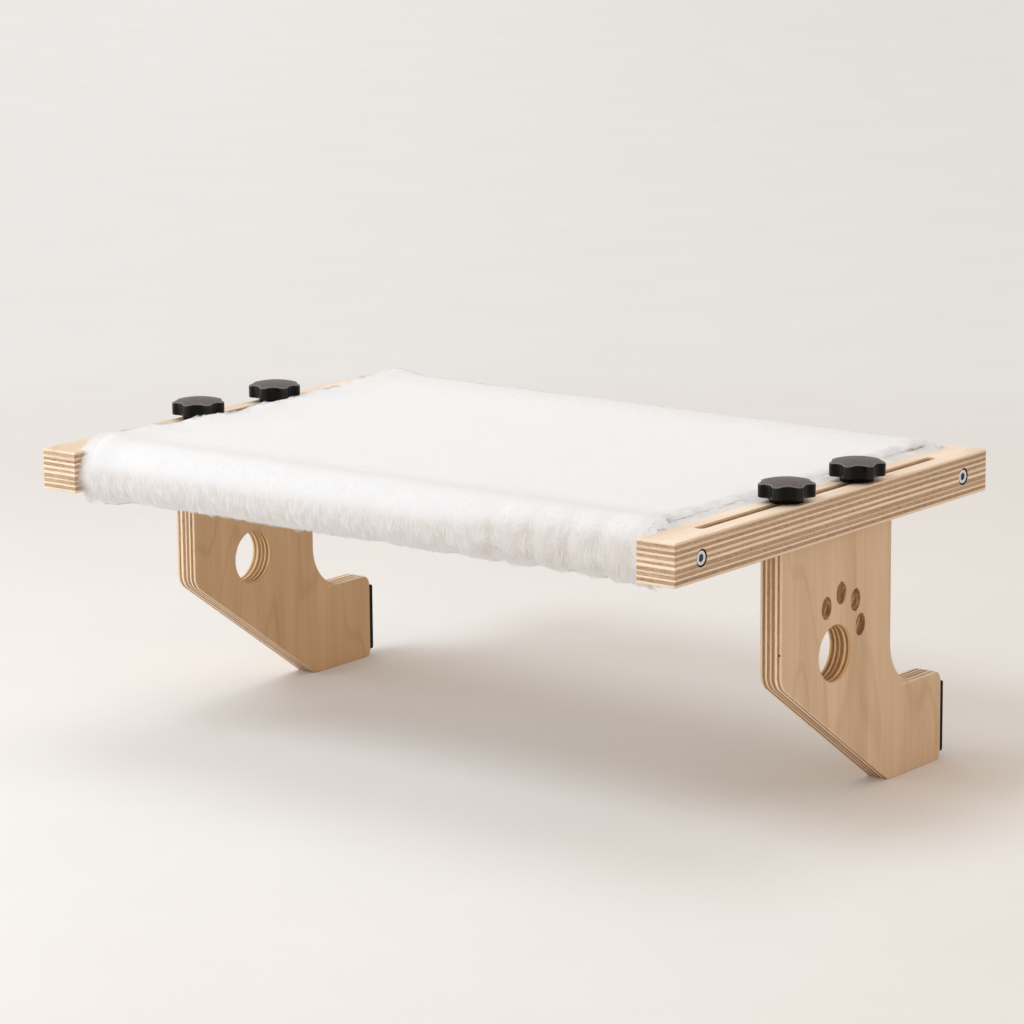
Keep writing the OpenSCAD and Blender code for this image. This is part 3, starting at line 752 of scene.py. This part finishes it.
# The tops of the feet are painted lighter: painted light that lifts the cover's shadow on them.
# The paw's hole wall is scorched.
from_top = maths(tree, "ABSOLUTE", maths(tree, "SUBTRACT", split[2], FOOT_TOP))
on_foot = maths(tree, "MULTIPLY", ramp(tree, from_top, 0.5, 1.2, 1.0, 0.0),
                ramp(tree, split[1], FOOT_FROM, FOOT_FROM + 6))
faced = shader["Base Color"].links[0].from_socket
for mask, stain_and_painted_light in ((scorched, (0.88, 0.76, 0.55)), (inner_shade, (0.905, 0.795, 0.655)),
                    (on_foot, (1.12, 1.19, 1.24))):
    faced = mixed(tree, mask, faced, multiplied(tree, faced, stain_and_painted_light))
fill(tree, shader, {"Base Color": mixed(tree, open_knot, faced, (0.03, 0.018, 0.01, 1))})

routed_wood, tree, shader, where = finish("routed_wood", Specular_IOR_Level=0.25)
split = add(tree, "SeparateXYZ", {0: where}).outputs
slanted = add(tree, "CombineXYZ", {
    0: maths(tree, "MULTIPLY_ADD", split[2], -0.38, split[1]),
    1: maths(tree, "MULTIPLY_ADD", split[1], 0.38, split[2]), 2: split[0]}).outputs[0]
torn = noise(tree, slanted, (0.42, 0.035, 0.42), 3.0, 0.6)
streaks = ramp(tree, torn, 0.42, 0.66)
fill(tree, shader, {
    "Base Color": mixed(tree, streaks, (0.35, 0.20, 0.10, 1), (0.80, 0.53, 0.31, 1)),
    "Roughness": maths(tree, "MULTIPLY_ADD", torn, 0.2, 0.6)})
raise_relief(tree, shader, torn, 0.2)

for side in SIDES:
    plate = eased_copy(f"{side}_bracket", f"{side}_hook_bracket", PLATE_EASE, 3)
    stand_for(plate, f"{side}_bracket", f"{side}_hook", "bracket_plywood", plate_wood, routed_wood)
    for face in plate.data.polygons:
        x, y, z = face.center / MM
        sunk_in = TOE_FLOOR < abs(x) < TOE_MOUTH
        round_pad = TOES_FROM < math.hypot(y - PAW_AT[0], z - PAW_AT[1]) < TOES_TO
        face.material_index = int(sunk_in and round_pad and TOES_LOW < z < TOES_HIGH)


# Wall pads: black rubber strips, glued to the rear faces of the brackets' feet. They rest
# against the wall below the sill, and spare it.
PAD_EASE = 0.35 * MM
rubber, tree, shader, where = finish("black_rubber", Specular_IOR_Level=0.15)
skin = noise(tree, where, (3.0, 3.0, 3.0), 3.0, 0.6)
dusty = ramp(tree, noise(tree, where, (0.2, 0.2, 0.2), 3.0), 0.45, 0.75)
fill(tree, shader, {
    "Base Color": mixed(tree, dusty, (0.004, 0.0038, 0.0036, 1), (0.012, 0.011, 0.010, 1)),
    "Roughness": maths(tree, "MULTIPLY_ADD", skin, 0.2, 0.65)})
raise_relief(tree, shader, skin, 0.12)
for side in SIDES:
    pad = eased_copy(f"{side}_wall_pad", f"{side}_rubber_pad", PAD_EASE)
    stand_for(pad, f"{side}_wall_pad", f"{side}_hook", "pad_rubber", rubber)


# Knob studs: M6 threaded rods of zinc-plated steel, moulded into the knobs. They pass
# through the rails' slots into the brackets' inserts.
STUD_R, THREAD_DEPTH, PITCH = 3.0, 0.54, 1.0
STUD_Y = {"front": -41.0, "rear": 46.5}
STUD_LOW, STUD_HIGH = 176.0, 229.0

thread_steel, tree, shader, where = finish("thread_steel", Metallic=1.0)
tone_field = noise(tree, where, (1.5, 1.5, 1.5), 4.0, 0.65)
fill(tree, shader, {
    "Base Color": mixed(tree, tone_field, (0.42, 0.42, 0.43, 1), (0.66, 0.66, 0.67, 1)),
    "Roughness": ramp(tree, tone_field, 0.3, 0.7, 0.25, 0.45)})


def threaded_stud():
    """A threaded rod: the outline of one thread, screwed up the rod, and closed at its ends."""
    turns = round((STUD_HIGH - STUD_LOW) / PITCH) - 1
    core = STUD_R - THREAD_DEPTH
    outline = [(core, 0.0), (STUD_R, 0.42), (STUD_R, 0.55), (core, 0.94), (core, 1.0)]
    mesh = bpy.data.meshes.new("threaded_stud")
    mesh.from_pydata([(r * MM, 0, (STUD_LOW + h * PITCH) * MM) for r, h in outline],
                     [(i, i + 1) for i in range(len(outline) - 1)], [])
    stud = bpy.data.objects.new("threaded_stud", mesh)
    bpy.context.collection.objects.link(stud)
    screw = stud.modifiers.new("thread", "SCREW")
    screw.angle, screw.screw_offset, screw.iterations = 2 * math.pi, PITCH * MM, turns
    screw.steps = screw.render_steps = 20
    screw.use_merge_vertices, screw.merge_threshold = True, MERGE
    alone(stud)
    bpy.ops.object.modifier_apply(modifier=screw.name)
    bpy.ops.object.mode_set(mode="EDIT")
    bpy.ops.mesh.select_all(action="SELECT")
    bpy.ops.mesh.remove_doubles(threshold=MERGE)
    bpy.ops.mesh.select_all(action="DESELECT")
    bpy.ops.mesh.select_non_manifold()
    bpy.ops.mesh.fill_holes(sides=0)
    bpy.ops.mesh.select_all(action="SELECT")
    bpy.ops.mesh.normals_make_consistent(inside=False)
    bpy.ops.object.mode_set(mode="OBJECT")
    bpy.ops.object.shade_smooth_by_angle(angle=math.radians(40))
    return stud


def set_out(model, name, node, body, slot, material):
    """Copies a piece modelled on the Z axis to its four places, and removes the model."""
    for end in ENDS:
        for side, sign in SIDES.items():
            piece = bpy.data.objects.new(f"{end}_{side}_{name}", model.data.copy())
            piece.data.transform(Matrix.Translation((sign * STUD_X * MM, STUD_Y[end] * MM, 0)))
            bpy.context.collection.objects.link(piece)
            stand_for(piece, f"{end}_{side}_{node}", f"{end}_{side}_{body}", slot, material)
    bpy.data.objects.remove(model)


set_out(threaded_stud(), "threaded_stud", "knob_stud", "screw", "stud_steel", thread_steel)


# Star knobs: satin black mouldings with seven lobes, a domed top and a round hub that
# bears on the rail. They are turned by hand to clamp the brackets.
LOBES, KNOB_R, LOBE_R, HOLLOW = 7, 20.0, 4.2, 3.6
KNOB_REST = math.radians(24.5)
HUB_R, HUB_H, GRIP_H, DOME_H, BORE_R, BORE_H = 12.0, 4.0, 9.0, 3.0, 3.05, 9.0
AROUND = LOBES * 24
RIM_HIGHLIGHT, LOBE_HIGHLIGHT = 0.6, 0.08

black_plastic, tree, shader, where = finish("satin_black_plastic", Specular_IOR_Level=0.13)
moulded = noise(tree, where, (1.1, 1.1, 1.1), 4.0, 0.7)
handled = noise(tree, where, (0.15, 0.15, 0.15), 3.0)
height = add(tree, "SeparateXYZ", {0: where}).outputs[2]
shoulder = RAIL_TOP + HUB_H + GRIP_H
# The grained top is painted lighter than the near-black sides: a rougher moulded top, with a
# painted reflection of the pale surroundings.
grained = ramp(tree, height, shoulder - 0.15, shoulder + 0.35)
smooth = mixed(tree, handled, (0.0025, 0.0020, 0.0016, 1), (0.005, 0.0042, 0.0036, 1))
speckled = ramp(tree, moulded, 0.3, 0.7)
top_sheen_speckle = mixed(tree, speckled, (0.044, 0.038, 0.037, 1), (0.185, 0.161, 0.155, 1))
# A painted highlight, lighter along the top's rim and up the crests of the lobes.
rim_lobe_highlight = add(tree, "Attribute", attribute_name="rim_lobe_highlight").outputs["Fac"]
fill(tree, shader, {
    "Base Color": mixed(tree, rim_lobe_highlight, mixed(tree, grained, smooth, top_sheen_speckle), (0.24, 0.225, 0.22, 1)),
    "Roughness": maths(tree, "MULTIPLY_ADD", grained, 0.25,
                       maths(tree, "MULTIPLY_ADD", handled, 0.10, 0.17))})
raise_relief(tree, shader, moulded, 0.05)


def star(angle):
    """The radius of the lobed outline at an angle: round lobes joined by round hollows."""
    half = math.pi / LOBES
    reach, base = KNOB_R - LOBE_R, KNOB_R - HOLLOW
    c = math.cos(half)
    hollow = (reach ** 2 + base ** 2 - 2 * reach * base * c - LOBE_R ** 2) / (
        2 * (LOBE_R - base + reach * c))
    far = base + hollow
    off = abs((angle + half) % (2 * half) - half)
    joint = Vector((reach, 0)).lerp(
        Vector((far * c, far * math.sin(half))), LOBE_R / (LOBE_R + hollow))
    if off < math.atan2(joint.y, joint.x):
        return reach * math.cos(off) + math.sqrt(LOBE_R ** 2 - (reach * math.sin(off)) ** 2)
    off = half - off
    return far * math.cos(off) - math.sqrt(hollow ** 2 - (far * math.sin(off)) ** 2)


def dome(radius):
    """The height of the domed top at a radius, above the rail."""
    return HUB_H + GRIP_H + DOME_H * (1 - (radius / KNOB_R) ** 2)


def star_knob():
    """A knob drawn up ring by ring from its bore, over the hub and the lobes, to the dome."""
    angles = [KNOB_REST + 2 * math.pi * i / AROUND for i in range(AROUND)]
    lobed = [star(a - KNOB_REST) for a in angles]
    rings = [[(r, h)] * AROUND for r, h in (
        (BORE_R, BORE_H), (BORE_R, 0.0), (HUB_R - 0.6, 0.0), (HUB_R - 0.18, 0.18), (HUB_R, 0.6),
        (HUB_R, HUB_H - 0.4), (HUB_R + 0.12, HUB_H - 0.12), (HUB_R + 0.4, HUB_H))]
    rings += [[(r - inset, HUB_H + rise) for r in lobed] for inset, rise in (
        (0.6, 0.0), (0.3, 0.08), (0.08, 0.3), (0.0, 0.6))]
    rings += [[(r - inset, dome(r) - fall) for r in lobed] for inset, fall in (
        (0.0, 0.55), (0.05, 0.28), (0.17, 0.10), (0.42, 0.01))]
    rings += [[(r * share, dome(r * share)) for r in lobed]
              for share in (0.9, 0.78, 0.64, 0.48, 0.3, 0.12)]
    bpy.ops.object.select_all(action="DESELECT")
    bpy.ops.mesh.primitive_circle_add(vertices=AROUND, radius=BORE_R * MM, fill_type="NGON")
    knob = bpy.context.object
    bpy.ops.object.mode_set(mode="EDIT")
    for number, ring in enumerate(rings):
        if number:
            bpy.ops.mesh.extrude_region()
        shape = bmesh.from_edit_mesh(knob.data)
        chosen = sorted((v for v in shape.verts if v.select), key=lambda v: v.index)
        for vertex, angle, (radius, height) in zip(chosen, angles, ring):
            vertex.co = Vector((radius * math.cos(angle), radius * math.sin(angle),
                                RAIL_TOP + height)) * MM
        bmesh.update_edit_mesh(knob.data)
    bpy.ops.mesh.select_all(action="SELECT")
    bpy.ops.mesh.normals_make_consistent(inside=False)
    bpy.ops.object.mode_set(mode="OBJECT")
    bpy.ops.object.shade_smooth_by_angle(angle=math.radians(50))
    # The painted highlight: full along the rim of the top, faint up the lobes' crests.
    tone_field = knob.data.attributes.new("rim_lobe_highlight", "FLOAT", "POINT")
    for vertex, value in zip(knob.data.vertices, tone_field.data):
        radius = math.hypot(vertex.co.x, vertex.co.y) / MM
        above = vertex.co.z / MM - RAIL_TOP - dome(radius)
        lobe = max(0.0, (radius - KNOB_R) / HOLLOW + 1)
        on_rim, on_side = -0.30 < above < -0.005, above < -0.4
        value.value = RIM_HIGHLIGHT if on_rim else LOBE_HIGHLIGHT * lobe ** 4 * on_side
    return knob


set_out(star_knob(), "star_knob", "knob", "grip", "knob_plastic", black_plastic)


# Studio: a plain pale floor, soft light from the upper left and front, and the camera at
# the angle of the photograph.
FLOOR_COLOUR = (0.84, 0.83, 0.815)
BACKDROP_LEFT, BACKDROP_RIGHT = (0.845, 0.81, 0.785, 1), (0.765, 0.735, 0.70, 1)
BACKDROP_FROM, BACKDROP_TO, RIGHTWARD = -900.0, 1100.0, (0.794, 0.608)
FLOOR_KEPT, FLOOR_GONE = 700.0, 1700.0
AMBIENT, AMBIENT_COLOUR = 0.67, (1.0, 0.86, 0.735, 1)
CAMERA_AT = (1.7782, -2.3146, 0.7916)
YAW, PITCH_DOWN, ROLL = (math.radians(a) for a in (37.54, 11.96, -0.50))
LENS = 145.17
LIT_AT = (0, 0, 0.15)
LIGHTS = {
    "key": ((-0.8, -1.62, 2.3), 1.1, 26.4, (0.775, 0.89, 1.0)),
    "fill": ((-1.5, -1.3, 0.45), 1.4, 14, (0.85, 0.935, 1.0)),
    "top": ((-0.3, 0.35, 2.4), 1.6, 12.2, (0.795, 0.90, 1.0)),
}

scene = bpy.context.scene
scene.view_settings.view_transform = "Standard"
bpy.ops.object.select_all(action="DESELECT")
bpy.ops.mesh.primitive_plane_add(size=30)
floor = bpy.context.object
floor.name = "floor"


def seen(tree):
    """Is 1 for what the camera sees, straight or through gloss and glass, and 0 for light."""
    path = add(tree, "LightPath").outputs
    rays = maths(tree, "MAXIMUM", path["Is Camera Ray"], path["Is Glossy Ray"])
    return maths(tree, "MAXIMUM", rays, path["Is Transmission Ray"])


paper, tree, shader, where = finish("floor_paper", Roughness=0.9, Specular_IOR_Level=0.1)
mottled = noise(tree, where, (0.006, 0.006, 0.006), 5.0, 0.62)
mottled = maths(tree, "MULTIPLY_ADD", mottled, 0.06, 0.97)
fill(tree, shader, {"Base Color": shaded(tree, FLOOR_COLOUR, mottled)})
# Where the floor turns into the glowing backdrop, it is painted darker towards the right: painted
# falloff of the light from the left.
split = add(tree, "SeparateXYZ", {0: where}).outputs
rightward = maths(tree, "MULTIPLY", split[1], RIGHTWARD[1])
rightward = maths(tree, "MULTIPLY_ADD", split[0], RIGHTWARD[0], rightward)
rightward = ramp(tree, rightward, BACKDROP_FROM, BACKDROP_TO)
backdrop = mixed(tree, rightward, BACKDROP_LEFT, BACKDROP_RIGHT)
glow = add(tree, "Emission", {"Color": shaded(tree, backdrop, mottled)}).outputs[0]
distance = add(tree, "VectorMath", {0: where}, operation="LENGTH").outputs["Value"]
away = maths(tree, "MULTIPLY", ramp(tree, distance, FLOOR_KEPT, FLOOR_GONE), seen(tree))
output = tree.nodes["Material Output"].inputs["Surface"]
both = add(tree, "MixShader", {0: away, 1: output.links[0].from_socket, 2: glow}).outputs[0]
fill(tree, {"Surface": output}, {"Surface": both})
floor.data.materials.append(paper)

world = bpy.data.worlds.new("studio")
scene.world = world
world.use_nodes = True
tree = world.node_tree
sky = tree.nodes["Background"]
fill(tree, sky.inputs, {
    "Color": mixed(tree, seen(tree), AMBIENT_COLOUR, BACKDROP_LEFT),
    "Strength": maths(tree, "MULTIPLY_ADD", seen(tree), 1 - AMBIENT, AMBIENT)})

for name, (at, size, power, colour) in LIGHTS.items():
    lamp = bpy.data.lights.new(name, "AREA")
    lamp.shape, lamp.size, lamp.energy, lamp.color = "DISK", size, power, colour
    light = bpy.data.objects.new(name, lamp)
    light.location = at
    light.rotation_euler = (Vector(LIT_AT) - Vector(at)).to_track_quat("-Z", "Y").to_euler()
    bpy.context.collection.objects.link(light)

camera = bpy.data.objects.new("camera", bpy.data.cameras.new("camera"))
camera.data.sensor_width, camera.data.lens = 36.0, LENS
camera.data.clip_end = 60
back = Vector((math.sin(YAW) * math.cos(PITCH_DOWN), -math.cos(YAW) * math.cos(PITCH_DOWN),
               math.sin(PITCH_DOWN)))
level = Vector((math.cos(YAW), math.sin(YAW), 0))
upward = back.cross(level)
right = math.cos(ROLL) * level + math.sin(ROLL) * upward
up = math.cos(ROLL) * upward - math.sin(ROLL) * level
turn = Matrix((right, up, back)).transposed()
camera.matrix_world = Matrix.Translation(CAMERA_AT) @ turn.to_4x4()
bpy.context.collection.objects.link(camera)
scene.camera = camera
